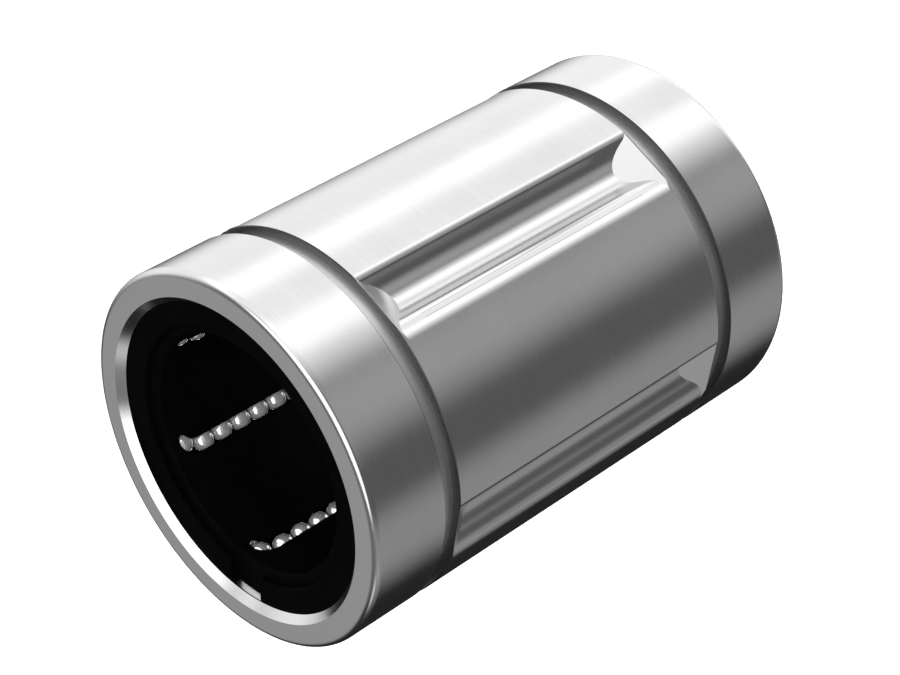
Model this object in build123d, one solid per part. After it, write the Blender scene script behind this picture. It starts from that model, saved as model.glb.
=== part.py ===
from build123d import *
import math
import os

# Linear ball bushing, in millimetres, standing on one end with its axis along +Z.
# The origin is the centre of the lower end face. The two ends are mirror images.
# Balls run in closed circuits: under load between shaft and raceway, then back
# through a lifted return track, with a half-round turn at each end.

# Overall sizes. The wall fills the height between shaft and housing, so the outside is 40 mm.
shaft_d = 25.0
wall_height = 7.5
length = 59.0
corner_r = 0.8

# Balls and circuits
ball_d = 2.381
ball_gap = 0.06
circuit_count = 6
first_circuit_angle = 15.0
balls_in_turn = 2
return_lift = 0.7
rest_phase = 0.2

# Retaining-ring grooves round the outside
ring_groove_span = 41.0
ring_groove_width = 1.85
ring_groove_depth = 1.0
ring_groove_edge = 0.1

# Channels along the outside, between the grooves
channel_count = 5
channel_depth = 2.1
channel_floor_r = 2.85
channel_shoulder_r = 0.6
channel_ramp_angle = 30.0
channel_ramp_overrun = 0.4

# Mouth, snap ring and turn ring at each end
mouth_chamfer_r = 0.72
mouth_chamfer_depth = 0.8
mouth_lip = 0.12
snap_ring_thickness = 0.7
snap_ring_engagement = 0.53
snap_ring_step = 1.15
snap_ring_gap = 4.35
snap_ring_gap_angle = 135.0
snap_ring_bevel = 0.2
snap_ring_corner_r = 0.2
turn_ring_wall = 0.93
turn_end_wall = 0.45
cage_lead_in = 0.3

# Clearances
shaft_clearance = 0.2
raceway_clearance = 0.03
track_clearance = 0.06
cage_clearance = 0.11
turn_ring_clearance = 0.05
snap_ring_clearance = 0.05
end_play = 0.02
cut_through = 1.0

# Worked out from the sizes above
shaft_r = shaft_d / 2
outer_r = shaft_r + wall_height
ball_r = ball_d / 2
pitch = ball_d + ball_gap
turn_step = math.pi / balls_in_turn
turn_r = pitch / (2 * math.sin(turn_step / 2))
track_r = ball_r + track_clearance
loaded_r = shaft_r + ball_r
return_r = loaded_r + return_lift
raceway_r = loaded_r + ball_r + raceway_clearance
cage_bore_r = shaft_r + shaft_clearance
cage_r = raceway_r - cage_clearance
counterbore_r = return_r + track_r + turn_ring_wall
mouth_r = counterbore_r + mouth_chamfer_r

# Depths from an end face
snap_ring_top = mouth_chamfer_depth + mouth_lip
snap_ring_bottom = snap_ring_top + snap_ring_thickness + 2 * end_play
least_turn_depth = snap_ring_bottom + turn_end_wall + track_r + turn_r
balls_in_straight = int((length - 2 * least_turn_depth) / pitch)
straight = balls_in_straight * pitch
turn_depth = (length - straight) / 2

# The two tracks of a circuit, with the loaded one on +X, a turn's diameter apart
track_angle = math.acos(
    (loaded_r**2 + return_r**2 - (2 * turn_r) ** 2) / (2 * loaded_r * return_r)
)
loaded_track = Vector(loaded_r, 0)
return_track = Vector(return_r * math.cos(track_angle), -return_r * math.sin(track_angle))
across = (return_track - loaded_track).normalized()
turn_centre = (loaded_track + return_track) / 2
up = Vector(0, 0, 1)
turn_axis = up.cross(across)
upper_turn = turn_centre + up * (length - turn_depth)

middle = Plane.XY.offset(length / 2)


def round_the_axis(count, first_angle):
    """Turns about Z for a ring of equal features."""
    return [Rot(0, 0, first_angle + n * 360 / count) for n in range(count)]


def at_both_ends(upper):
    """A shape at the upper end with its mirror image at the lower one."""
    return [upper, mirror(upper, about=middle)]


def tube(outer, inner, low, high):
    """A plain ring between two heights."""
    wall = Circle(outer) - Circle(inner)
    return extrude(Pos(0, 0, low) * wall, high - low)


def end_bore():
    """Chamfered mouth, snap-ring groove and counterbore, down to the turns."""
    snap_groove_r = counterbore_r + snap_ring_engagement
    outline = [
        (0, -cut_through),
        (mouth_r, -cut_through),
        (mouth_r, 0),
        (counterbore_r, mouth_chamfer_depth),
        (counterbore_r, snap_ring_top),
        (snap_groove_r, snap_ring_top),
        (snap_groove_r, snap_ring_bottom),
        (counterbore_r, snap_ring_bottom),
        (counterbore_r, turn_depth),
        (0, turn_depth),
    ]
    half = make_face(Polyline(*[(r, length - depth) for r, depth in outline], close=True))
    return revolve(Plane.XZ * half, Axis.Z)


def ring_groove():
    """Square groove for the upper retaining ring, with its edges broken."""
    high = (length + ring_groove_span) / 2
    low = high - ring_groove_width
    floor_r = outer_r - ring_groove_depth
    outline = [
        (floor_r, low),
        (floor_r, high),
        (outer_r - ring_groove_edge, high),
        (outer_r + cut_through, high + ring_groove_edge + cut_through),
        (outer_r + cut_through, low - ring_groove_edge - cut_through),
        (outer_r - ring_groove_edge, low),
    ]
    return revolve(Plane.XZ * make_face(Polyline(*outline, close=True)), Axis.Z)


def channel():
    """Trough on +X with a round floor, rolled shoulders and a ramp at each end."""
    floor_centre = outer_r - channel_depth + channel_floor_r
    shoulder_at = outer_r - channel_shoulder_r
    reach = channel_floor_r + channel_shoulder_r
    shoulder_x = (shoulder_at**2 - reach**2 + floor_centre**2) / (2 * floor_centre)
    half_width = math.sqrt(shoulder_at**2 - shoulder_x**2) * outer_r / shoulder_at
    wall = Circle(outer_r) - Pos(floor_centre, 0) * Circle(channel_floor_r)
    corners = wall.vertices().sort_by(Axis.X)[-2:]
    wall = fillet(corners, channel_shoulder_r)
    section = Pos(outer_r, 0) * Rectangle(2 * channel_floor_r, 2 * half_width) - wall
    trough = extrude(section, length)
    groove_edge = ring_groove_span / 2 - ring_groove_width
    ramp_end = groove_edge + channel_ramp_overrun
    lean = 1 / math.tan(math.radians(channel_ramp_angle))
    deep = outer_r - channel_floor_r
    high = outer_r + channel_floor_r
    ramps = [
        (high, ramp_end + channel_floor_r * lean),
        (deep, ramp_end - channel_floor_r * lean),
        (deep, channel_floor_r * lean - ramp_end),
        (high, -ramp_end - channel_floor_r * lean),
    ]
    side = make_face(Polyline(*[(r, length / 2 + z) for r, z in ramps], close=True))
    return trough & extrude(Plane.XZ * side, channel_floor_r * 2, both=True)


def sleeve():
    """Ground steel sleeve with its grooves, channels, raceway and return flutes."""
    body = Pos(0, 0, length / 2) * Cylinder(outer_r, length)
    body = fillet(body.edges().filter_by(GeomType.CIRCLE), corner_r)
    body -= at_both_ends(ring_groove())
    body -= [turn * channel() for turn in round_the_axis(channel_count, 0)]
    body -= Pos(0, 0, length / 2) * Cylinder(raceway_r, length)
    flute = Pos(return_track.X, return_track.Y, length / 2) * Cylinder(track_r, length)
    body -= [turn * flute for turn in round_the_axis(circuit_count, first_circuit_angle)]
    body -= at_both_ends(end_bore())
    return body


def turn_cutter(section):
    """Half circle swept round the upper turn by a flat section beside its centre."""
    at_turn = Plane(origin=upper_turn, x_dir=-across, z_dir=up)
    return revolve(at_turn * section, Axis(upper_turn, turn_axis), 180)


def track():
    """The whole closed track of one circuit."""
    runs = []
    for place in (loaded_track, return_track):
        runs.append(Pos(place.X, place.Y, length / 2) * Cylinder(track_r, straight))
    half_turn = turn_cutter(Pos(turn_r, 0) * Circle(track_r))
    return runs + at_both_ends(half_turn)


def cage():
    """Moulded cage: a thin tube whose wall holds every track."""
    low = snap_ring_bottom + end_play
    body = tube(cage_r, cage_bore_r, low, length - low)
    rims = body.edges().filter_by(GeomType.CIRCLE)
    inner = [edge for edge in rims if edge.radius < (cage_r + cage_bore_r) / 2]
    body = chamfer(inner, cage_lead_in)
    circuit = track()
    for turn in round_the_axis(circuit_count, first_circuit_angle):
        for piece in circuit:
            body -= turn * piece
    return body


def turn_ring():
    """Moulded ring in the upper counterbore that closes the turns from outside."""
    body = tube(
        counterbore_r - turn_ring_clearance,
        cage_r + turn_ring_clearance,
        length - turn_depth,
        length - snap_ring_bottom,
    )
    half_disc = Pos(turn_r / 2, 0) * Rectangle(turn_r, 2 * track_r)
    pocket = turn_cutter(half_disc + Pos(turn_r, 0) * Circle(track_r))
    body -= [turn * pocket for turn in round_the_axis(circuit_count, first_circuit_angle)]
    return body


def snap_ring():
    """Sprung flat ring with a parallel gap, in the upper groove."""
    low = length - snap_ring_bottom + end_play
    ring_r = counterbore_r + snap_ring_engagement - snap_ring_clearance
    bore_r = cage_bore_r + snap_ring_step
    body = tube(ring_r, bore_r, low, low + snap_ring_thickness)
    rims = body.edges().filter_by(GeomType.CIRCLE)
    body = chamfer([edge for edge in rims if edge.radius < ring_r - 1], snap_ring_bevel)
    gap = Pos(ring_r, 0, low) * Box(2 * ring_r, snap_ring_gap, 4 * snap_ring_thickness)
    body -= gap
    corners = [edge for edge in body.edges().filter_by(Axis.Z) if edge.center().X > 0]
    return Rot(0, 0, snap_ring_gap_angle) * fillet(corners, snap_ring_corner_r)


def ball_at(place, height):
    """One ball of a circuit."""
    return Pos(place.X, place.Y, height) * Sphere(ball_r)


def row(place, shift):
    """The balls in one straight track, moved along it by shift."""
    first = (length - straight + pitch) / 2 + shift
    return [ball_at(place, first + n * pitch) for n in range(balls_in_straight)]


def turn_balls(side, phase):
    """The balls in the upper (side 1) or lower (side -1) turn, turned by phase."""
    balls = []
    for n in range(balls_in_turn):
        angle = turn_step * (n + 0.5) + side * phase
        place = turn_centre - across * (turn_r * math.cos(angle))
        height = (turn_depth if side < 0 else length - turn_depth) + side * turn_r * math.sin(angle)
        balls.append(ball_at(place, height))
    return balls


def ball_groups():
    """Each circuit's four groups of balls, as they stand at rest."""
    turned = rest_phase * turn_step / pitch
    return {
        "loaded_balls": row(loaded_track, rest_phase),
        "return_balls": row(return_track, -rest_phase),
        "upper_turn_balls": turn_balls(1, turned),
        "lower_turn_balls": turn_balls(-1, turned),
    }


def write(name, shape):
    """One file for each piece."""
    export_step(shape, f"parts/{name}.step")


os.makedirs("parts", exist_ok=True)
write("outer_sleeve", sleeve())
write("ball_cage", cage())
for end, ring in zip(("upper", "lower"), at_both_ends(turn_ring())):
    write(f"{end}_turn_ring", ring)
for end, ring in zip(("upper", "lower"), at_both_ends(snap_ring())):
    write(f"{end}_snap_ring", ring)
for number, turn in enumerate(round_the_axis(circuit_count, first_circuit_angle), 1):
    for group, balls in ball_groups().items():
        write(f"circuit_{number}_{group}", Compound([turn * ball for ball in balls]))
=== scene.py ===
import math

import bpy
from bpy.props import FloatProperty, FloatVectorProperty, IntProperty, PointerProperty
from bpy.types import Operator, Panel, PropertyGroup
from mathutils import Matrix, Vector


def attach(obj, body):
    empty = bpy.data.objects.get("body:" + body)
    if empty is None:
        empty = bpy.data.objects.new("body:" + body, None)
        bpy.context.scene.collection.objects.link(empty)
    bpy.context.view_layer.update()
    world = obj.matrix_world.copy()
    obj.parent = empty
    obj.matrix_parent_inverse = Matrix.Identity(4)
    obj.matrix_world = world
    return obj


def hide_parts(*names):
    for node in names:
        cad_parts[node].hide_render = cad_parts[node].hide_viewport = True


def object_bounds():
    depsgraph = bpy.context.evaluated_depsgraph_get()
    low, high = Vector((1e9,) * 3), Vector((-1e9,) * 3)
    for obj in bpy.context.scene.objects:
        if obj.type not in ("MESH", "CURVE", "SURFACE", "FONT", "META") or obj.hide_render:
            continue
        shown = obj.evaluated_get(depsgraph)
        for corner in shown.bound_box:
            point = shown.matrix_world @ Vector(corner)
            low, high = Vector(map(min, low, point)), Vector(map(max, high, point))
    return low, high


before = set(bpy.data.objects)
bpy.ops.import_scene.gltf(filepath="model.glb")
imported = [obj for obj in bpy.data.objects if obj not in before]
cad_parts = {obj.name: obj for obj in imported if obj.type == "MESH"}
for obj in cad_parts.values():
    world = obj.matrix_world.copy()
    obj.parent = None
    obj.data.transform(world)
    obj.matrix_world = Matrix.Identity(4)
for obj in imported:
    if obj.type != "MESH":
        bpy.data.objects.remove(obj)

bl_info = {
    "name": "Linear Ball Bushing",
    "version": (1, 0, 0),
    "blender": (4, 5, 0),
    "location": "View3D > Sidebar > Bushing",
    "description": "Makes and finishes a closed linear ball bushing and sets its studio",
    "category": "Object",
}

MM = 0.001
CAD_BOX = [list(corner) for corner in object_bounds()]

# Sizes of the sleeve, the same as the solid's
LENGTH = CAD_BOX[1][2] - CAD_BOX[0][2]
OUTER_R = CAD_BOX[1][0]
RING_GROOVE_SPAN = 41.0 * MM
RING_GROOVE_WIDTH = 1.85 * MM
RING_GROOVE_DEPTH = 1.0 * MM
RING_GROOVE_EDGE = 0.1 * MM
GROOVE_FLOOR_R = OUTER_R - RING_GROOVE_DEPTH
GROOVE_OUTSIDE = RING_GROOVE_SPAN / 2
GROOVE_INSIDE = GROOVE_OUTSIDE - RING_GROOVE_WIDTH
CHANNEL_EDGE = GROOVE_INSIDE - RING_GROOVE_EDGE
CORNER_R = 0.8 * MM
RACEWAY_R = 14.911 * MM
COUNTERBORE_R = 16.571 * MM
COUNTERBORE_DEPTH = 5.09 * MM
SNAP_GROOVE_R = 17.101 * MM
SNAP_GROOVE_TOP = 0.92 * MM
SNAP_GROOVE_BOTTOM = 1.66 * MM
MOUTH_R = 17.291 * MM
MOUTH_DEPTH = 0.8 * MM

# The ball circuits, the same as the solid's
CIRCUITS = 6
FIRST_CIRCUIT_ANGLE = math.radians(15.0)
RETURN_LIFT = 0.7 * MM
SHAFT_R = 12.5 * MM
TRACK_CLEARANCE = 0.06 * MM

# How finely the sleeve is divided: columns round it, steps in a rounded corner, and rows in
# each of the three stretches from its middle to a channel's end
COLUMNS = 720
CORNER_STEPS = 8
STRETCHES = 3
ROWS_IN_STRETCH = (0.0, 0.03, 0.35, 0.68, 0.97)

# How far from a rounded corner the rows beside it lie, how exactly a row's place is told, how
# near two points are merged, and how sharp a fold stays
CORNER_SUPPORT = 0.05 * MM
TOLERANCE = 0.001 * MM
WELD = 0.0005 * MM
CREASE = math.radians(12.0)

# Noise scales of the finishes, per metre. Where there are three, the last is along the axis.
GROUND_LINE_TURN = 90.0
MILLED_LINES = (3200.0, 3200.0, 30.0)
SCORE_MARKS = (560.0, 560.0, 6.0)
STEEL_CLOUDS = 85.0
BLACK_CLOUDS = 120.0
LAPPING_MARKS = 2600.0
MOULDING_GRAIN = 9000.0
RING_GRAIN = 5000.0

# How far the ground lines move along the axis for each unit of radius, which takes them across
# the end faces
GROUND_LINE_LEAN = 1.4

# A noise's values between which a finish goes from one shade to the other
CLOUD_BAND = (0.3, 0.7)
GRAIN_BAND = (0.25, 0.75)
MOTTLE_BAND = (0.35, 0.65)

# How far from its middle value a noise still makes a score mark
SCORE_BAND = 0.016

# Shades of the finishes, as shares of their colours
STEEL_SHADES = (0.975, 1.025)
BALL_SHADES = (0.96, 1.04)
BLACK_SHADES = (0.6, 1.4)
GROUND_LINE_SHADE = 0.95
SCORE_SHADE = 0.62
# Painted shade: how much darker the groove walls become at their outer edges
GROOVE_RIM_PAINTED_SHADE = 0.3

# How much a finish's roughness varies, and what some places add to it
STEEL_VARIES = 0.012
BALL_VARIES = 0.03
BLACK_VARIES = 0.06
GROUND_LINE_ROUGHER = 0.05
GROOVE_WALL_ROUGHER = 0.2
GROOVE_FLOOR_ROUGHER = 0.22

# Roughness of the black pieces
MOULDING_ROUGHNESS = 0.5
RING_ROUGHNESS = 0.4

# Heights that the bump of each finish stands for
GROUND_LINE_HEIGHT = 1.2e-6
LAPPING_HEIGHT = 1e-6
MOULDING_HEIGHT = 2e-6
RING_HEIGHT = 1e-6

# Where one of the sleeve's finishes, or the painted shade on its groove walls and raceway, gives
# way to the next
LAND_SKIN = 0.06 * MM
CHANNEL_END = 0.05 * MM
HAIR = 0.01 * MM
SCORED_LENGTH = 30.4 * MM
MARKS_FADE = 0.4 * MM
GROOVE_RIM = 0.12 * MM
RACEWAY_SHADE_FROM = 1.1 * MM
RACEWAY_SHADE_TO = 1.2 * MM


class BushingSleeve(PropertyGroup):
    """Finish of the ground sleeve, with the painted shade of its groove walls and raceway"""

    colour: FloatVectorProperty(
        name="Steel",
        description="Colour of the ground lands",
        subtype="COLOR",
        size=3,
        min=0.0,
        max=1.0,
        default=(0.64, 0.64, 0.645),
    )
    roughness: FloatProperty(
        name="Roughness",
        description="Roughness of the ground lands",
        default=0.17,
        min=0.0,
        max=1.0,
        subtype="FACTOR",
    )
    grinding_width: FloatProperty(
        name="Grinding line",
        description="Width of the fine lines that grinding leaves round the sleeve",
        default=0.16 * MM,
        min=0.02 * MM,
        max=2.0 * MM,
        unit="LENGTH",
    )
    # Painted shade: the ring grooves' side walls are darkened to stand in for the shade inside
    # the grooves
    groove_wall_shade: FloatVectorProperty(
        name="Groove walls",
        description="Colour of the turned side walls of the retaining-ring grooves",
        subtype="COLOR",
        size=3,
        min=0.0,
        max=1.0,
        default=(0.2, 0.2, 0.203),
    )
    # Painted shade: the raceway is darkened where it shows between the balls, in the shade
    # behind them
    raceway: FloatVectorProperty(
        name="Raceway",
        description="Colour of the hardened raceway behind the balls",
        subtype="COLOR",
        size=3,
        min=0.0,
        max=1.0,
        default=(0.09, 0.09, 0.093),
    )


class BushingChannels(PropertyGroup):
    """Sizes of the channels round the outside of the sleeve"""

    count: IntProperty(
        name="Channels",
        description="Number of channels round the sleeve",
        default=5,
        min=1,
        max=8,
    )
    depth: FloatProperty(
        name="Depth",
        description="Depth of a channel below the ground lands",
        default=2.1 * MM,
        min=0.2 * MM,
        max=2.6 * MM,
        unit="LENGTH",
    )
    floor_radius: FloatProperty(
        name="Floor radius",
        description="Radius of a channel's round floor",
        default=2.85 * MM,
        min=2.2 * MM,
        max=5.0 * MM,
        unit="LENGTH",
    )
    tight_shoulder: FloatProperty(
        name="Tight shoulder",
        description="Radius of the rolled shoulder on the leading side",
        default=0.9 * MM,
        min=0.1 * MM,
        max=3.0 * MM,
        unit="LENGTH",
    )
    wide_shoulder: FloatProperty(
        name="Wide shoulder",
        description="Radius of the rolled shoulder on the trailing side",
        default=3.0 * MM,
        min=0.1 * MM,
        max=4.0 * MM,
        unit="LENGTH",
    )
    ramp_slope: FloatProperty(
        name="Ramp",
        description="Slope of the ramp at each end of a channel",
        default=math.radians(30.0),
        min=math.radians(10.0),
        max=math.radians(60.0),
        subtype="ANGLE",
    )
    overrun: FloatProperty(
        name="Overrun",
        description="How far past the ring groove's edge a ramp would meet the land",
        default=0.4 * MM,
        min=0.0,
        max=1.0 * MM,
        unit="LENGTH",
    )


class BushingBlack(PropertyGroup):
    """Finish of the black pieces inside"""

    moulding: FloatVectorProperty(
        name="Moulding",
        description="Colour of the cage and the turn rings",
        subtype="COLOR",
        size=3,
        min=0.0,
        max=1.0,
        default=(0.001, 0.001, 0.0011),
    )
    ring: FloatVectorProperty(
        name="Snap rings",
        description="Colour of the blackened snap rings",
        subtype="COLOR",
        size=3,
        min=0.0,
        max=1.0,
        default=(0.0008, 0.0008, 0.0008),
    )


class BushingBalls(PropertyGroup):
    """Sizes and finish of the recirculating balls"""

    diameter: FloatProperty(
        name="Ball diameter",
        description="Diameter of one ball",
        default=2.381 * MM,
        min=0.5 * MM,
        max=10.0 * MM,
        unit="LENGTH",
    )
    gap: FloatProperty(
        name="Gap",
        description="Clear space between two balls in a row",
        default=0.06 * MM,
        min=0.0,
        max=1.0 * MM,
        unit="LENGTH",
    )
    in_row: IntProperty(
        name="Balls in a row",
        description="Number of balls in one straight track",
        default=20,
        min=1,
        max=100,
    )
    in_turn: IntProperty(
        name="Balls in a turn",
        description="Number of balls in the half-round turn at one end",
        default=2,
        min=1,
        max=10,
    )
    lead: FloatProperty(
        name="Lead",
        description="How far the rows have run past their middle place",
        default=0.2 * MM,
        min=-1.2 * MM,
        max=1.2 * MM,
        unit="LENGTH",
    )
    colour: FloatVectorProperty(
        name="Ball steel",
        description="Colour of the polished balls",
        subtype="COLOR",
        size=3,
        min=0.0,
        max=1.0,
        default=(0.86, 0.86, 0.865),
    )
    roughness: FloatProperty(
        name="Roughness",
        description="Roughness of the polished balls",
        default=0.16,
        min=0.0,
        max=1.0,
        subtype="FACTOR",
    )


class BushingStudio(PropertyGroup):
    """Camera, lamps and floor"""

    lens: FloatProperty(
        name="Lens",
        description="Focal length on a 36 mm wide sensor",
        default=99.02,
        min=20.0,
        max=300.0,
        unit="CAMERA",
    )
    key_power: FloatProperty(
        name="Key lamp",
        description="Power of the large lamp in front",
        default=1.4,
        min=0.0,
        max=50.0,
        unit="POWER",
    )
    bore_power: FloatProperty(
        name="Bore lamp",
        description="Power of the lamp that shines down the bore",
        default=2.6,
        min=0.0,
        max=50.0,
        unit="POWER",
    )
    floor_colour: FloatVectorProperty(
        name="Floor",
        description="Colour of the floor",
        subtype="COLOR",
        size=3,
        min=0.0,
        max=1.0,
        default=(0.8, 0.8, 0.8),
    )


class Nodes:
    """Short way to add and join the nodes of one tree."""

    def __init__(self, tree):
        self.tree = tree
        self.tree.nodes.clear()

    def add(self, kind, inputs=None, **settings):
        node = self.tree.nodes.new(kind)
        for name, value in settings.items():
            setattr(node, name, value)
        for name, value in (inputs or {}).items():
            self.feed(node.inputs[name], value)
        return node

    def feed(self, socket, value):
        """Joins a socket to another node's output, or sets it to a plain value."""
        if isinstance(value, bpy.types.NodeSocket):
            self.tree.links.new(value, socket)
        else:
            socket.default_value = value

    def math(self, operation, *values):
        node = self.add("ShaderNodeMath", dict(enumerate(values)), operation=operation)
        return node.outputs[0]

    def vector(self, operation, *values):
        node = self.add("ShaderNodeVectorMath", dict(enumerate(values)), operation=operation)
        return node.outputs["Value" if operation in ("LENGTH", "DOT_PRODUCT") else "Vector"]

    def ramp(self, value, low, high, bottom=0.0, top=1.0, soft=True):
        """Takes a value between low and high to one between bottom and top."""
        node = self.add(
            "ShaderNodeMapRange",
            {
                "Value": value,
                "From Min": low,
                "From Max": high,
                "To Min": bottom,
                "To Max": top,
            },
            interpolation_type="SMOOTHSTEP" if soft else "LINEAR",
        )
        return node.outputs[0]

    def blend(self, factor, first, second, kind="RGBA"):
        node = self.add("ShaderNodeMix", data_type=kind)
        names = [socket for socket in node.inputs if socket.enabled]
        for socket, value in zip(names, (factor, first, second)):
            self.feed(socket, value)
        return [socket for socket in node.outputs if socket.enabled][0]

    def noise(self, vector, scale, detail=2.0, roughness=0.5):
        node = self.add(
            "ShaderNodeTexNoise",
            {"Vector": vector, "Scale": scale, "Detail": detail, "Roughness": roughness},
        )
        return node.outputs["Fac"]

    def vary(self, noise, band, middle, spread):
        """Takes a noise to values on either side of a middle one."""
        return self.ramp(noise, *band, middle - spread, middle + spread)

    def pick(self, side, first, second):
        """The first value where side is 1, and the second where it is 0."""
        node = self.add("ShaderNodeMix", {0: side, 2: second, 3: first}, data_type="FLOAT")
        return node.outputs[0]

    def keep(self, geometry, name, value, kind):
        """Stores a value on each point of a geometry."""
        node = self.add(
            "GeometryNodeStoreNamedAttribute",
            {"Geometry": geometry, "Name": name, "Value": value},
            data_type=kind,
            domain="POINT",
        )
        return node.outputs[0]

    def kept(self, name, kind):
        """A value that was stored."""
        node = self.add("GeometryNodeInputNamedAttribute", {"Name": name}, data_type=kind)
        return node.outputs[0]


def new_material(name):
    """An empty node material, and its nodes."""
    material = bpy.data.materials.new(name)
    material.use_nodes = True
    return material, Nodes(material.node_tree)


def shades(colour, *levels):
    """Shades of one colour, each as a share of it."""
    return [(*[min(1.0, part * level) for part in colour], 1.0) for level in levels]


def surface(n, colour, roughness, bump, values):
    """Ends a material in its surface. Bump is a strength, a height and the pattern it has."""
    strength, distance, pattern = bump
    raised = n.add(
        "ShaderNodeBump", {"Strength": strength, "Distance": distance, "Height": pattern}
    )
    look = {"Base Color": colour, "Roughness": roughness, "Normal": raised.outputs[0]}
    shader = n.add("ShaderNodeBsdfPrincipled", {**look, **values})
    n.add("ShaderNodeOutputMaterial", {"Surface": shader.outputs["BSDF"]})


def ground_lines(n, split, radius, width):
    """Fine lines that run round the axis."""
    down = n.math("MULTIPLY_ADD", radius, GROUND_LINE_LEAN, split["Z"])
    round_lines = n.add(
        "ShaderNodeCombineXYZ",
        {
            "X": n.math("MULTIPLY", split["X"], GROUND_LINE_TURN),
            "Y": n.math("MULTIPLY", split["Y"], GROUND_LINE_TURN),
            "Z": n.math("MULTIPLY", down, 1 / width),
        },
    ).outputs[0]
    return n.noise(round_lines, 1.0, 3.0, 0.6)


def score_marks(n, place, below, height):
    """Marks along the channels' straight floors."""
    marks = n.noise(n.vector("MULTIPLY", place, SCORE_MARKS), 1.0, 1.0)
    marks = n.ramp(n.math("ABSOLUTE", n.math("SUBTRACT", marks, 0.5)), SCORE_BAND, 0.0)
    along = n.ramp(height, SCORED_LENGTH / 2, SCORED_LENGTH / 2 - MARKS_FADE)
    return n.math("MULTIPLY", marks, n.math("MULTIPLY", below, along))


def groove_masks(n, radius, height):
    """Masks for a ring groove's side walls with their broken edges, and for its floor."""
    groove_middle = (RING_GROOVE_SPAN - RING_GROOVE_WIDTH) / 2
    beside = n.math("ABSOLUTE", n.math("SUBTRACT", height, groove_middle))
    edge = RING_GROOVE_WIDTH / 2 + RING_GROOVE_EDGE
    in_groove = n.ramp(beside, edge + HAIR, edge)
    above_floor = n.ramp(radius, GROOVE_FLOOR_R + HAIR / 5, GROOVE_FLOOR_R + HAIR)
    on_wall = n.math("MULTIPLY", in_groove, above_floor)
    return on_wall, n.math("SUBTRACT", in_groove, on_wall)


def ground_steel(sleeve):
    """Finely ground steel with the channels as milled, and painted shade on the grooves' side
    walls and the raceway.
    """
    material, n = new_material("ground_steel")
    place = n.add("ShaderNodeTexCoord").outputs["Object"]
    split = n.add("ShaderNodeSeparateXYZ", {0: place}).outputs
    radius = n.vector("LENGTH", n.vector("MULTIPLY", place, (1.0, 1.0, 0.0)))
    height = n.math("ABSOLUTE", n.math("SUBTRACT", split["Z"], LENGTH / 2))

    # Ground lines run round the axis, and milled ones along it
    ground = ground_lines(n, split, radius, sleeve.grinding_width)
    milled = n.noise(n.vector("MULTIPLY", place, MILLED_LINES), 1.0, 2.0)
    below = n.ramp(radius, OUTER_R - LAND_SKIN, OUTER_R - 2 * LAND_SKIN)
    between = n.ramp(height, GROOVE_INSIDE, GROOVE_INSIDE - CHANNEL_END)
    lines = n.blend(n.math("MULTIPLY", below, between), ground, milled, "FLOAT")
    grain = n.ramp(lines, *GRAIN_BAND, soft=False)

    # Faint clouds and grain on the lands, and score marks in the channels
    clouds = n.noise(place, STEEL_CLOUDS, 3.0, 0.55)
    colour = n.blend(n.ramp(clouds, *CLOUD_BAND), *shades(sleeve.colour, *STEEL_SHADES))
    streaked = n.blend(grain, *shades((1, 1, 1), GROUND_LINE_SHADE, 1.0))
    colour = n.vector("MULTIPLY", colour, streaked)
    scored = n.vector("MULTIPLY", colour, [SCORE_SHADE] * 3)
    colour = n.blend(score_marks(n, place, below, height), colour, scored)

    # Painted shade: darker walls in the ring grooves, darkest at their outer edges, and a dark
    # raceway behind the balls
    on_wall, on_floor = groove_masks(n, radius, height)
    rim_shade = n.ramp(radius, OUTER_R - GROOVE_RIM, OUTER_R - RING_GROOVE_EDGE)
    wall = n.blend(rim_shade, *shades(sleeve.groove_wall_shade, 1.0, GROOVE_RIM_PAINTED_SHADE))
    colour = n.blend(on_wall, colour, wall)
    # Painted shade on the raceway behind the balls
    inside = n.ramp(radius, RACEWAY_R + RACEWAY_SHADE_TO, RACEWAY_R + RACEWAY_SHADE_FROM)
    colour = n.blend(inside, colour, (*sleeve.raceway, 1.0))

    rough = n.vary(clouds, CLOUD_BAND, sleeve.roughness, STEEL_VARIES)
    rough = n.math("MULTIPLY_ADD", grain, GROUND_LINE_ROUGHER, rough)
    rough = n.math("MULTIPLY_ADD", on_wall, GROOVE_WALL_ROUGHER, rough)
    rough = n.math("MULTIPLY_ADD", on_floor, GROOVE_FLOOR_ROUGHER, rough)
    surface(n, colour, rough, (0.35, GROUND_LINE_HEIGHT, lines), {"Metallic": 1.0})
    return material


def ball_steel(balls):
    """Polished steel with the faintest lapping marks."""
    material, n = new_material("ball_steel")
    place = n.add("ShaderNodeTexCoord").outputs["Object"]
    marks = n.noise(place, LAPPING_MARKS, 3.0, 0.6)
    colour = n.blend(n.ramp(marks, *CLOUD_BAND), *shades(balls.colour, *BALL_SHADES))
    rough = n.vary(marks, CLOUD_BAND, balls.roughness, BALL_VARIES)
    polish = {"Metallic": 0.86, "Sheen Weight": 0.5, "Sheen Roughness": 0.22}
    surface(n, colour, rough, (0.2, LAPPING_HEIGHT, marks), polish)
    return material


def black_finish(name, colour, grain, roughness, height):
    """A black surface with a fine grain and hardly any gloss."""
    material, n = new_material(name)
    place = n.add("ShaderNodeTexCoord").outputs["Object"]
    fine = n.noise(place, grain, 3.0, 0.6)
    clouds = n.noise(place, BLACK_CLOUDS, 2.0)
    mottle = n.math("MULTIPLY_ADD", clouds, 0.5, n.math("MULTIPLY", fine, 0.5))
    shade = n.blend(n.ramp(mottle, *MOTTLE_BAND), *shades(colour, *BLACK_SHADES))
    rough = n.vary(fine, GRAIN_BAND, roughness, BLACK_VARIES)
    surface(n, shade, rough, (0.4, height, fine), {"Metallic": 0.0, "Specular IOR Level": 0.006})
    return material


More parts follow.
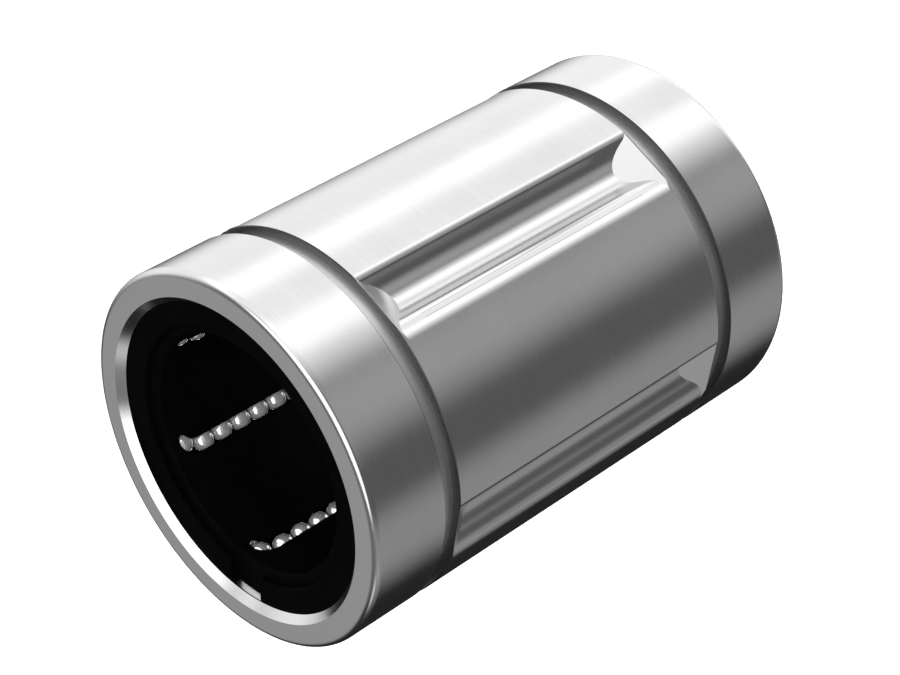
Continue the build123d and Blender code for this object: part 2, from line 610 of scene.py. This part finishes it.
def paint(node, material):
    """Gives a CAD node a better material."""
    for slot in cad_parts[node].material_slots:
        slot.material = material


def geometry_tree(name, inputs):
    """A Geometry Nodes tree with named inputs, and its nodes."""
    tree = bpy.data.node_groups.new(name, "GeometryNodeTree")
    for label, kind in inputs.items():
        tree.interface.new_socket(label, in_out="INPUT", socket_type=f"NodeSocket{kind}")
    tree.interface.new_socket("Result", in_out="OUTPUT", socket_type="NodeSocketGeometry")
    n = Nodes(tree)
    return n, n.add("NodeGroupInput").outputs


def end_tree(n, shape, steel):
    """Ends a tree in a real mesh with its material."""
    real = n.add("GeometryNodeRealizeInstances", {"Geometry": shape})
    finished = n.add("GeometryNodeSetMaterial", {"Geometry": real.outputs[0], "Material": steel})
    n.add("NodeGroupOutput", {0: finished.outputs[0]})
    return n.tree


def set_balls(n, points, diameter, steel):
    """Puts a ball on each point and ends the tree."""
    ball = n.add(
        "GeometryNodeMeshIcoSphere",
        {"Radius": n.math("MULTIPLY", diameter, 0.5), "Subdivisions": 2},
    )
    smooth = n.add("GeometryNodeSetShadeSmooth", {"Geometry": ball.outputs["Mesh"]})
    placed = n.add(
        "GeometryNodeInstanceOnPoints", {"Points": points, "Instance": smooth.outputs[0]}
    )
    return end_tree(n, placed.outputs[0], steel)


def row_tree(steel):
    """Balls one pitch apart up a straight track."""
    n, given = geometry_tree(
        "ball_row",
        {"Ball diameter": "Float", "Pitch": "Float", "Count": "Int", "First ball": "Vector"},
    )
    step = n.add("ShaderNodeCombineXYZ", {"Z": given["Pitch"]}).outputs[0]
    line = n.add(
        "GeometryNodeMeshLine",
        {"Count": given["Count"], "Start Location": given["First ball"], "Offset": step},
        mode="OFFSET",
    )
    return set_balls(n, line.outputs[0], given["Ball diameter"], steel)


def turn_tree(steel):
    """Balls round the half circle at one end of a circuit."""
    n, given = geometry_tree(
        "ball_turn",
        {
            "Ball diameter": "Float",
            "Turn radius": "Float",
            "First angle": "Float",
            "Step angle": "Float",
            "Count": "Int",
            "Turn centre": "Vector",
            "From centre": "Vector",
            "Outwards": "Vector",
        },
    )
    index = n.add("GeometryNodeInputIndex").outputs[0]
    angle = n.math("MULTIPLY_ADD", index, given["Step angle"], given["First angle"])
    place = given["Turn centre"]
    for function, way in (("COSINE", "From centre"), ("SINE", "Outwards")):
        reach = n.math("MULTIPLY", n.math(function, angle), given["Turn radius"])
        reach = n.add("ShaderNodeVectorMath", {0: given[way], "Scale": reach}, operation="SCALE")
        place = n.vector("ADD", place, reach.outputs[0])
    points = n.add("GeometryNodePoints", {"Count": given["Count"], "Position": place})
    return set_balls(n, points.outputs[0], given["Ball diameter"], steel)


def run_tree(name, tree, values, body, start=None):
    """Runs a tree once and keeps what it makes as a plain mesh on a body."""
    shell = start or bpy.data.meshes.new(name)
    holder = bpy.data.objects.new(name, shell)
    bpy.context.scene.collection.objects.link(holder)
    modifier = holder.modifiers.new("shape", "NODES")
    modifier.node_group = tree
    for socket in tree.interface.items_tree:
        if socket.in_out == "INPUT" and socket.name in values:
            modifier[socket.identifier] = values[socket.name]
    graph = bpy.context.evaluated_depsgraph_get()
    mesh = bpy.data.meshes.new_from_object(holder.evaluated_get(graph))
    if not mesh.polygons:
        raise RuntimeError(f"{name} came out empty")
    holder.modifiers.remove(modifier)
    holder.data = mesh
    bpy.data.meshes.remove(shell)
    mesh.name = name
    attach(holder, body)
    return holder


def spread(stops, fractions):
    """Values between each pair of stops, at the given fractions of the way."""
    return [
        low + (high - low) * part
        for low, high in zip(stops, stops[1:])
        for part in fractions
    ] + [stops[-1]]


def sleeve_profile():
    """The sleeve's section as a closed line: radius across, height from the middle up."""
    end = LENGTH / 2
    stops = [CHANNEL_EDGE * part / STRETCHES for part in range(STRETCHES + 1)]
    half = [(OUTER_R, height) for height in spread(stops, ROWS_IN_STRETCH)]
    half += [
        (OUTER_R - RING_GROOVE_EDGE, GROOVE_INSIDE),
        (GROOVE_FLOOR_R, GROOVE_INSIDE),
        (GROOVE_FLOOR_R, GROOVE_OUTSIDE),
        (OUTER_R - RING_GROOVE_EDGE, GROOVE_OUTSIDE),
        (OUTER_R, GROOVE_OUTSIDE + RING_GROOVE_EDGE),
        (OUTER_R, end - CORNER_R - CORNER_SUPPORT),
    ]
    for step in range(CORNER_STEPS + 1):
        turn = math.pi / 2 * step / CORNER_STEPS
        half.append(
            (
                OUTER_R - CORNER_R * (1 - math.cos(turn)),
                end - CORNER_R * (1 - math.sin(turn)),
            )
        )
    half += [
        (OUTER_R - CORNER_R - CORNER_SUPPORT, end),
        (MOUTH_R, end),
        (COUNTERBORE_R, end - MOUTH_DEPTH),
        (COUNTERBORE_R, end - SNAP_GROOVE_TOP),
        (SNAP_GROOVE_R, end - SNAP_GROOVE_TOP),
        (SNAP_GROOVE_R, end - SNAP_GROOVE_BOTTOM),
        (COUNTERBORE_R, end - SNAP_GROOVE_BOTTOM),
        (COUNTERBORE_R, end - COUNTERBORE_DEPTH),
        (RACEWAY_R, end - COUNTERBORE_DEPTH),
    ]
    loop = half + [(radius, -height) for radius, height in reversed(half[1:])]
    mesh = bpy.data.meshes.new("sleeve_profile")
    count = len(loop)
    mesh.from_pydata(
        [(radius, 0, height) for radius, height in loop],
        [(place, (place + 1) % count) for place in range(count)],
        [],
    )
    return mesh


def chord(n, centre, radius, angle):
    """Where a line from the axis crosses a circle: middle, half length, and its square."""
    across = n.math("MULTIPLY", centre, n.math("SINE", angle))
    squares = [n.math("MULTIPLY", value, value) for value in (radius, across)]
    inside = n.math("SUBTRACT", *squares)
    half = n.math("SQRT", n.math("MAXIMUM", inside, 0.0))
    return n.math("MULTIPLY", centre, n.math("COSINE", angle)), half, inside


def from_nearest(n, angle, spacing):
    """The angle from the nearest of a ring of equal features."""
    half = n.math("MULTIPLY", spacing, 0.5)
    return n.math("WRAP", angle, half, n.math("MULTIPLY", half, -1.0))


def turned_profile(n, given):
    """The turned mesh, with each point's angle and its radius and height in the profile."""
    position = n.add("GeometryNodeInputPosition").outputs[0]
    profile = n.keep(given["Profile"], "row", position, "FLOAT_VECTOR")
    profile = n.add("GeometryNodeMeshToCurve", {"Mesh": profile}).outputs[0]
    path = n.add(
        "GeometryNodeCurvePrimitiveCircle", {"Resolution": given["Columns"], "Radius": 1.0}
    ).outputs[0]
    step = n.math("DIVIDE", 2 * math.pi, given["Columns"])
    turn = n.math("MULTIPLY", n.add("GeometryNodeInputIndex").outputs[0], step)
    path = n.keep(path, "column", turn, "FLOAT")
    wall = n.add("GeometryNodeCurveToMesh", {"Curve": path, "Profile Curve": profile}).outputs[0]
    row = n.add("ShaderNodeSeparateXYZ", {0: n.kept("row", "FLOAT_VECTOR")}).outputs
    return wall, n.kept("column", "FLOAT"), row["X"], row["Z"]


def channel_section(n, given, around):
    """A channel's round floor and rolled shoulders: the radius, and the angle's cosine."""
    side = n.math("GREATER_THAN", around, 0.0)
    shoulder_r = n.pick(side, given["Tight shoulder"], given["Wide shoulder"])
    shoulder_at = n.pick(side, given["Tight shoulder angle"], given["Wide shoulder angle"])
    floor_to = n.pick(side, given["Tight floor angle"], given["Wide floor angle"])
    within = n.math("MINIMUM", n.math("ABSOLUTE", around), shoulder_at)
    middle, half, _ = chord(n, given["Floor centre"], given["Floor radius"], within)
    floor = n.math("SUBTRACT", middle, half)
    shoulder_centre = n.math("SUBTRACT", given["Outer radius"], shoulder_r)
    before = n.math("SUBTRACT", within, shoulder_at)
    middle, half, _ = chord(n, shoulder_centre, shoulder_r, before)
    shoulder = n.math("ADD", middle, half)
    trough = n.pick(n.math("LESS_THAN", within, floor_to), floor, shoulder)
    return trough, n.math("COSINE", within)


def ramp_rows(n, given, up, trough, cosine, slope):
    """Moves the rows between the ring grooves to the ramp's upper and lower edges."""
    outer, edge = given["Outer radius"], given["Channel edge"]
    heights = [edge]
    for level in (outer, trough):
        below = n.math("SUBTRACT", outer, n.math("MULTIPLY", level, cosine))
        height = n.math("SUBTRACT", given["Ramp end"], n.math("DIVIDE", below, slope))
        heights.append(n.math("MINIMUM", height, edge))
    heights.append(0.0)
    part = n.math("SUBTRACT", 1.0, n.math("DIVIDE", up, edge))
    part = n.math("MULTIPLY", part, float(STRETCHES))
    moved = edge
    for place, (high, low) in enumerate(zip(heights, heights[1:])):
        share = n.add("ShaderNodeClamp", {0: n.math("SUBTRACT", part, float(place))}).outputs[0]
        moved = n.math("MULTIPLY_ADD", n.math("SUBTRACT", low, high), share, moved)
    return moved


def cut_channels(n, given, turn, radius, up):
    """A point's radius and its height from the middle once the channels are cut."""
    outer, edge = given["Outer radius"], given["Channel edge"]
    around = from_nearest(n, turn, given["Channel spacing"])
    trough, cosine = channel_section(n, given, around)
    slope = n.math("TANGENT", given["Ramp slope"])
    on_land = n.math(
        "MULTIPLY",
        n.math("GREATER_THAN", radius, n.math("SUBTRACT", outer, TOLERANCE)),
        n.math("LESS_THAN", up, n.math("ADD", edge, TOLERANCE)),
    )
    up = n.pick(on_land, ramp_rows(n, given, up, trough, cosine, slope), up)
    plane = n.math("MULTIPLY_ADD", n.math("SUBTRACT", up, given["Ramp end"]), slope, outer)
    carved = n.math("MAXIMUM", trough, n.math("DIVIDE", plane, cosine))
    return n.math("MINIMUM", radius, carved), up


def cut_flutes(n, given, turn, radius, outside):
    """A point's radius once the return flutes are cut in the raceway."""
    beside = from_nearest(
        n, n.math("SUBTRACT", turn, given["Flute angle"]), given["Flute spacing"]
    )
    middle, half, inside = chord(n, given["Flute centre"], given["Flute radius"], beside)
    flute = n.math("MULTIPLY", n.math("ADD", middle, half), n.math("GREATER_THAN", inside, 0.0))
    in_race = n.math("LESS_THAN", radius, n.math("ADD", given["Raceway radius"], HAIR))
    return n.pick(in_race, n.math("MAXIMUM", flute, radius), outside)


def smooth_wall(n, wall):
    """Smooth faces with sharp edges."""
    fold = n.add("GeometryNodeInputMeshEdgeAngle").outputs["Unsigned Angle"]
    crease = n.math("GREATER_THAN", fold, CREASE)
    wall = n.add(
        "GeometryNodeSetShadeSmooth", {"Geometry": wall, "Shade Smooth": True}, domain="FACE"
    ).outputs[0]
    return n.add(
        "GeometryNodeSetShadeSmooth",
        {"Geometry": wall, "Selection": crease, "Shade Smooth": False},
        domain="EDGE",
    ).outputs[0]


SLEEVE_SIZES = (
    "Outer radius",
    "Floor centre",
    "Floor radius",
    "Tight shoulder",
    "Wide shoulder",
    "Tight shoulder angle",
    "Wide shoulder angle",
    "Tight floor angle",
    "Wide floor angle",
    "Channel spacing",
    "Channel edge",
    "Ramp end",
    "Ramp slope",
    "Flute centre",
    "Flute radius",
    "Flute angle",
    "Flute spacing",
    "Raceway radius",
    "Half length",
)


def sleeve_tree(steel):
    """Turns the profile round the axis, with channels outside and return flutes inside."""
    n, given = geometry_tree(
        "channelled_sleeve",
        {"Profile": "Geometry", "Columns": "Int", **{name: "Float" for name in SLEEVE_SIZES}},
    )
    wall, turn, radius, height = turned_profile(n, given)
    outside, up = cut_channels(n, given, turn, radius, n.math("ABSOLUTE", height))
    reach = cut_flutes(n, given, turn, radius, outside)
    place = n.add(
        "ShaderNodeCombineXYZ",
        {
            "X": n.math("MULTIPLY", reach, n.math("COSINE", turn)),
            "Y": n.math("MULTIPLY", reach, n.math("SINE", turn)),
            "Z": n.math("MULTIPLY_ADD", up, n.math("SIGN", height), given["Half length"]),
        },
    ).outputs[0]
    wall = n.add("GeometryNodeSetPosition", {"Geometry": wall, "Position": place}).outputs[0]
    wall = n.add("GeometryNodeMergeByDistance", {"Geometry": wall, "Distance": WELD}).outputs[0]
    wall = n.add("GeometryNodeFlipFaces", {"Mesh": wall}).outputs[0]
    for label in ("row", "column"):
        wall = n.add("GeometryNodeRemoveAttribute", {"Geometry": wall, "Name": label}).outputs[0]
    return end_tree(n, smooth_wall(n, wall), steel)


def shoulder_angles(shoulder_r, floor_centre, floor_r):
    """Where a shoulder meets the land, and where it meets the channel's floor."""
    at = OUTER_R - shoulder_r
    reach = floor_r + shoulder_r
    x = (at**2 - reach**2 + floor_centre**2) / (2 * floor_centre)
    y = math.sqrt(at**2 - x**2)
    share = floor_r / reach
    return math.atan2(y, x), math.atan2(y * share, floor_centre + (x - floor_centre) * share)


def turned(vector, angle):
    """A vector turned about the bushing's axis."""
    return Matrix.Rotation(angle, 3, "Z") @ vector


def turn_radius(balls):
    """Radius of the half circle on which the balls in a turn stand one pitch apart."""
    step = math.pi / balls.in_turn
    return (balls.diameter + balls.gap) / (2 * math.sin(step / 2))


def track_places(balls):
    """The loaded and the return track of the circuit on +X, a turn's diameter apart."""
    loaded_r = SHAFT_R + balls.diameter / 2
    return_r = loaded_r + RETURN_LIFT
    apart = 2 * turn_radius(balls)
    cosine = (loaded_r**2 + return_r**2 - apart**2) / (2 * loaded_r * return_r)
    loaded = Vector((loaded_r, 0, 0))
    return loaded, turned(Vector((return_r, 0, 0)), -math.acos(cosine))


def ball_groups(balls):
    """What each of a circuit's four groups gives its tree, for the circuit on +X."""
    pitch = balls.diameter + balls.gap
    step = math.pi / balls.in_turn
    turn_r = turn_radius(balls)
    straight = balls.in_row * pitch
    loaded, returning = track_places(balls)
    from_centre = (loaded - returning).normalized()
    first = (LENGTH - straight + pitch) / 2
    groups = {}
    for name, track, shift in (
        ("loaded", loaded, balls.lead),
        ("return", returning, -balls.lead),
    ):
        groups[name] = {
            "Ball diameter": balls.diameter,
            "Pitch": pitch,
            "Count": balls.in_row,
            "First ball": track + Vector((0, 0, first + shift)),
        }
    middle = (loaded + returning) / 2
    for name, side in (("upper_turn", 1), ("lower_turn", -1)):
        height = (LENGTH + side * straight) / 2
        groups[name] = {
            "Ball diameter": balls.diameter,
            "Turn radius": turn_r,
            "First angle": step / 2 + side * step * balls.lead / pitch,
            "Step angle": step,
            "Count": balls.in_turn,
            "Turn centre": middle + Vector((0, 0, height)),
            "From centre": from_centre,
            "Outwards": Vector((0, 0, side)),
        }
    return groups


class BUSHING_OT_sleeve(Operator):
    """Turns the outer sleeve with its channels, in ground steel"""

    bl_idname = "bushing.sleeve"
    bl_label = "Outer sleeve"

    def execute(self, context):
        channels = context.scene.bushing_channels
        balls = context.scene.bushing_balls
        floor_centre = OUTER_R - channels.depth + channels.floor_radius
        tight = shoulder_angles(channels.tight_shoulder, floor_centre, channels.floor_radius)
        wide = shoulder_angles(channels.wide_shoulder, floor_centre, channels.floor_radius)
        _, returning = track_places(balls)
        values = {
            "Columns": COLUMNS,
            "Outer radius": OUTER_R,
            "Floor centre": floor_centre,
            "Floor radius": channels.floor_radius,
            "Tight shoulder": channels.tight_shoulder,
            "Wide shoulder": channels.wide_shoulder,
            "Tight shoulder angle": tight[0],
            "Wide shoulder angle": wide[0],
            "Tight floor angle": tight[1],
            "Wide floor angle": wide[1],
            "Channel spacing": 2 * math.pi / channels.count,
            "Channel edge": CHANNEL_EDGE,
            "Ramp end": GROOVE_INSIDE + channels.overrun,
            "Ramp slope": channels.ramp_slope,
            "Flute centre": returning.length,
            "Flute radius": balls.diameter / 2 + TRACK_CLEARANCE,
            "Flute angle": FIRST_CIRCUIT_ANGLE + math.atan2(returning.y, returning.x),
            "Flute spacing": 2 * math.pi / CIRCUITS,
            "Raceway radius": RACEWAY_R,
            "Half length": LENGTH / 2,
        }
        tree = sleeve_tree(ground_steel(context.scene.bushing_sleeve))
        piece = run_tree("ground_sleeve", tree, values, "bushing", sleeve_profile())
        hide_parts("outer_sleeve")
        return {"FINISHED"}


class BUSHING_OT_cage(Operator):
    """Finishes the ball cage and the turn rings in black moulding"""

    bl_idname = "bushing.cage"
    bl_label = "Cage and turn rings"

    def execute(self, context):
        colour = context.scene.bushing_black.moulding
        moulding = black_finish(
            "black_moulding", colour, MOULDING_GRAIN, MOULDING_ROUGHNESS, MOULDING_HEIGHT
        )
        for node in ("ball_cage", "upper_turn_ring", "lower_turn_ring"):
            paint(node, moulding)
        return {"FINISHED"}


class BUSHING_OT_snap_rings(Operator):
    """Finishes the snap rings in blackened spring steel"""

    bl_idname = "bushing.snap_rings"
    bl_label = "Snap rings"

    def execute(self, context):
        colour = context.scene.bushing_black.ring
        black = black_finish("black_ring", colour, RING_GRAIN, RING_ROUGHNESS, RING_HEIGHT)
        for node in ("upper_snap_ring", "lower_snap_ring"):
            paint(node, black)
        return {"FINISHED"}


class BUSHING_OT_balls(Operator):
    """Sets the balls of every circuit in their tracks"""

    bl_idname = "bushing.balls"
    bl_label = "Ball circuits"

    def execute(self, context):
        balls = context.scene.bushing_balls
        steel = ball_steel(balls)
        trees = {"row": row_tree(steel), "turn": turn_tree(steel)}
        for number in range(CIRCUITS):
            angle = FIRST_CIRCUIT_ANGLE + number * 2 * math.pi / CIRCUITS
            for group, values in ball_groups(balls).items():
                for name in ("First ball", "Turn centre", "From centre"):
                    if name in values:
                        values[name] = turned(values[name], angle)
                body = f"circuit_{number + 1}_{group}"
                tree = trees["turn" if "Turn radius" in values else "row"]
                piece = run_tree(f"{body}_set", tree, values, body)
                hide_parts(f"{body}_balls")
        return {"FINISHED"}


class BUSHING_OT_stage(Operator):
    """Sets the camera, floor, lamps and studio panels"""

    bl_idname = "bushing.stage"
    bl_label = "Stage"

    def execute(self, context):
        studio = context.scene.bushing_studio
        set_camera(context.scene, studio)
        set_floor(context.scene, studio)
        set_world(context.scene)
        set_lamps(context.scene, studio)
        return {"FINISHED"}


# The camera's place and turn, fitted to the photograph
CAMERA_PLACE = (-0.00005, -0.20592, 0.17561)
CAMERA_RIGHT = (-0.5009, -0.5010, -0.7059)
CAMERA_UP = (0.8656, -0.2899, -0.4085)
SENSOR_WIDTH = 36.0
NEAREST_SEEN = 0.01


def set_camera(scene, studio):
    """Puts the camera where the photograph was taken from."""
    data = bpy.data.cameras.new("camera")
    data.sensor_width = SENSOR_WIDTH
    data.lens = studio.lens
    data.clip_start = NEAREST_SEEN
    camera = bpy.data.objects.new("camera", data)
    right, up = Vector(CAMERA_RIGHT), Vector(CAMERA_UP)
    back = right.cross(up).normalized()
    up = back.cross(right).normalized()
    right = up.cross(back)
    turn = Matrix((right, up, back)).transposed().to_4x4()
    camera.matrix_world = Matrix.Translation(CAMERA_PLACE) @ turn
    scene.collection.objects.link(camera)
    scene.camera = camera


WHITE = (1.0, 1.0, 1.0, 1.0)


def seen_plainly(n):
    """1 for the rays that show the white background: camera and transmission rays."""
    path = n.add("ShaderNodeLightPath").outputs
    return n.math("MAXIMUM", path["Is Camera Ray"], path["Is Transmission Ray"]), path


FLOOR_REACH = 2.0
FLOOR_GLOW = 0.55


def set_floor(scene, studio):
    """A pale floor that shows white and keeps the shadow."""
    material, n = new_material("pale_floor")
    plainly, path = seen_plainly(n)
    shown = n.math("MAXIMUM", plainly, path["Is Glossy Ray"])
    cloth = n.add("ShaderNodeBsdfDiffuse", {"Color": (*studio.floor_colour, 1.0)})
    glow = n.add("ShaderNodeEmission", {"Color": WHITE, "Strength": FLOOR_GLOW})
    both = n.add("ShaderNodeAddShader", {0: cloth.outputs[0], 1: glow.outputs[0]})
    mixed = n.add("ShaderNodeMixShader", {0: shown, 1: cloth.outputs[0], 2: both.outputs[0]})
    n.add("ShaderNodeOutputMaterial", {"Surface": mixed.outputs[0]})
    mesh = bpy.data.meshes.new("floor")
    signs = ((-1, -1), (1, -1), (1, 1), (-1, 1))
    corners = [(x * FLOOR_REACH, y * FLOOR_REACH, 0) for x, y in signs]
    mesh.from_pydata(corners, [], [(0, 1, 2, 3)])
    mesh.materials.append(material)
    floor = bpy.data.objects.new("floor", mesh)
    scene.collection.objects.link(floor)
    floor.visible_glossy = False


# Studio panels that the metal mirrors: middle azimuth and half width, lowest and highest
# elevation, soft edge, all in degrees, and how bright the panel is. A panel that starts at
# -90 has no lower edge.
PANELS = (
    ("front softbox", -46.0, 16.0, -90.0, 38.0, 9.0, 1.7),
    ("side softbox", 0.0, 17.0, -90.0, 40.0, 12.0, 1.7),
    ("side sheet", -6.0, 66.0, -90.0, 36.0, 20.0, 1.3),
    ("left flat", 181.0, 25.5, -90.0, 42.0, 18.0, 0.37),
    ("left strip", 157.0, 9.0, 12.0, 30.0, 7.0, 1.0),
    ("low card", 175.0, 8.0, 0.0, 14.0, 5.0, 0.62),
    ("grey sheet", 218.0, 66.0, -90.0, 34.0, 10.0, 0.135),
    ("camera flat", -96.0, 24.0, -90.0, 26.0, 20.0, 0.47),
    ("top softbox", -85.0, 84.0, 42.0, 84.0, 8.0, 2.4),
    ("back flat", 90.0, 32.0, 16.0, 60.0, 12.0, 0.43),
    ("behind sheet", 90.0, 8.0, -70.0, -14.0, 4.0, 1.5),
)
STRAIGHT_DOWN = -90.0

# Between the panels it is dark, and overhead a little lighter, with the change at these
# elevations. The last value is the plain light on everything that isn't mirrored.
DARK_GAP = 0.02
OVERHEAD = 0.2
OVERHEAD_FROM = math.radians(26.0)
OVERHEAD_TO = math.radians(42.0)
PLAIN_LIGHT = 0.4


def panel_light(n, azimuth, elevation, panel):
    """Brightness of one soft-edged panel in every direction."""
    _, *angles, strength = panel
    middle, half, low, high, soft = [math.radians(angle) for angle in angles]
    beside = n.math("WRAP", n.math("SUBTRACT", azimuth, middle), math.pi, -math.pi)
    away = n.math("ABSOLUTE", beside)
    light = n.ramp(away, half + soft, half - soft, 0.0, strength)
    light = n.math("MULTIPLY", light, n.ramp(elevation, high + soft, high - soft))
    if angles[2] > STRAIGHT_DOWN:
        light = n.math("MULTIPLY", light, n.ramp(elevation, low - soft, low + soft))
    return light


def set_world(scene):
    """White for the camera, the panels for mirrors, and plain light for the rest."""
    world = bpy.data.worlds.new("studio")
    world.use_nodes = True
    scene.world = world
    n = Nodes(world.node_tree)
    plainly, path = seen_plainly(n)
    way = n.add("ShaderNodeTexCoord").outputs["Generated"]
    split = n.add("ShaderNodeSeparateXYZ", {0: way}).outputs
    azimuth = n.math("ARCTAN2", split["Y"], split["X"])
    elevation = n.math("ARCSINE", split["Z"])
    total = n.ramp(elevation, OVERHEAD_FROM, OVERHEAD_TO, DARK_GAP, OVERHEAD)
    for panel in PANELS:
        total = n.math("MAXIMUM", total, panel_light(n, azimuth, elevation, panel))
    soft_light, mirrored, white = [
        n.add("ShaderNodeBackground", {"Color": WHITE, "Strength": strength})
        for strength in (PLAIN_LIGHT, total, 1.0)
    ]
    first = n.add(
        "ShaderNodeMixShader",
        {0: path["Is Glossy Ray"], 1: soft_light.outputs[0], 2: mirrored.outputs[0]},
    )
    second = n.add("ShaderNodeMixShader", {0: plainly, 1: first.outputs[0], 2: white.outputs[0]})
    n.add("ShaderNodeOutputWorld", {"Surface": second.outputs[0]})


# Lamps: name, place, the point that each shines on, and its width
LAMPS = (
    ("key", (0.12, -0.35, 0.42), (0, 0, 0.03), 0.22),
    ("bore", (-0.06, -0.34, 0.33), (0, 0.01, 0.05), 0.12),
)


def add_lamp(scene, name, place, target, size, power):
    """A round lamp that lights the bushing and doesn't show in its mirrors."""
    data = bpy.data.lights.new(name, "AREA")
    data.shape = "DISK"
    data.size = size
    data.energy = power
    lamp = bpy.data.objects.new(name, data)
    lamp.location = place
    aim = Vector(target) - Vector(place)
    lamp.rotation_euler = aim.to_track_quat("-Z", "Y").to_euler()
    scene.collection.objects.link(lamp)
    lamp.visible_glossy = False


def set_lamps(scene, studio):
    for name, place, target, size in LAMPS:
        add_lamp(scene, name, place, target, size, getattr(studio, f"{name}_power"))


STEPS = (
    BUSHING_OT_sleeve,
    BUSHING_OT_cage,
    BUSHING_OT_snap_rings,
    BUSHING_OT_balls,
    BUSHING_OT_stage,
)


class BUSHING_PT_panel(Panel):
    """Lists the steps that dress the bushing, with their settings"""

    bl_idname = "BUSHING_PT_panel"
    bl_label = "Linear Ball Bushing"
    bl_space_type = "VIEW_3D"
    bl_region_type = "UI"
    bl_category = "Bushing"

    def draw(self, context):
        for step in STEPS:
            self.layout.operator(step.bl_idname)
        for name in SETTINGS:
            group = getattr(context.scene, name)
            box = self.layout.box()
            for value in group.__annotations__:
                box.prop(group, value)


SETTINGS = {
    "bushing_sleeve": BushingSleeve,
    "bushing_channels": BushingChannels,
    "bushing_black": BushingBlack,
    "bushing_balls": BushingBalls,
    "bushing_studio": BushingStudio,
}
CLASSES = (*SETTINGS.values(), *STEPS, BUSHING_PT_panel)


def register():
    for cls in CLASSES:
        bpy.utils.register_class(cls)
    for name, cls in SETTINGS.items():
        setattr(bpy.types.Scene, name, PointerProperty(type=cls))


def unregister():
    for name in SETTINGS:
        delattr(bpy.types.Scene, name)
    for cls in reversed(CLASSES):
        bpy.utils.unregister_class(cls)


def main():
    register()
    bpy.context.scene.view_settings.view_transform = "Standard"
    bpy.ops.bushing.sleeve()
    bpy.ops.bushing.cage()
    bpy.ops.bushing.snap_rings()
    bpy.ops.bushing.balls()
    bpy.ops.bushing.stage()


if __name__ == "__main__":
    main()
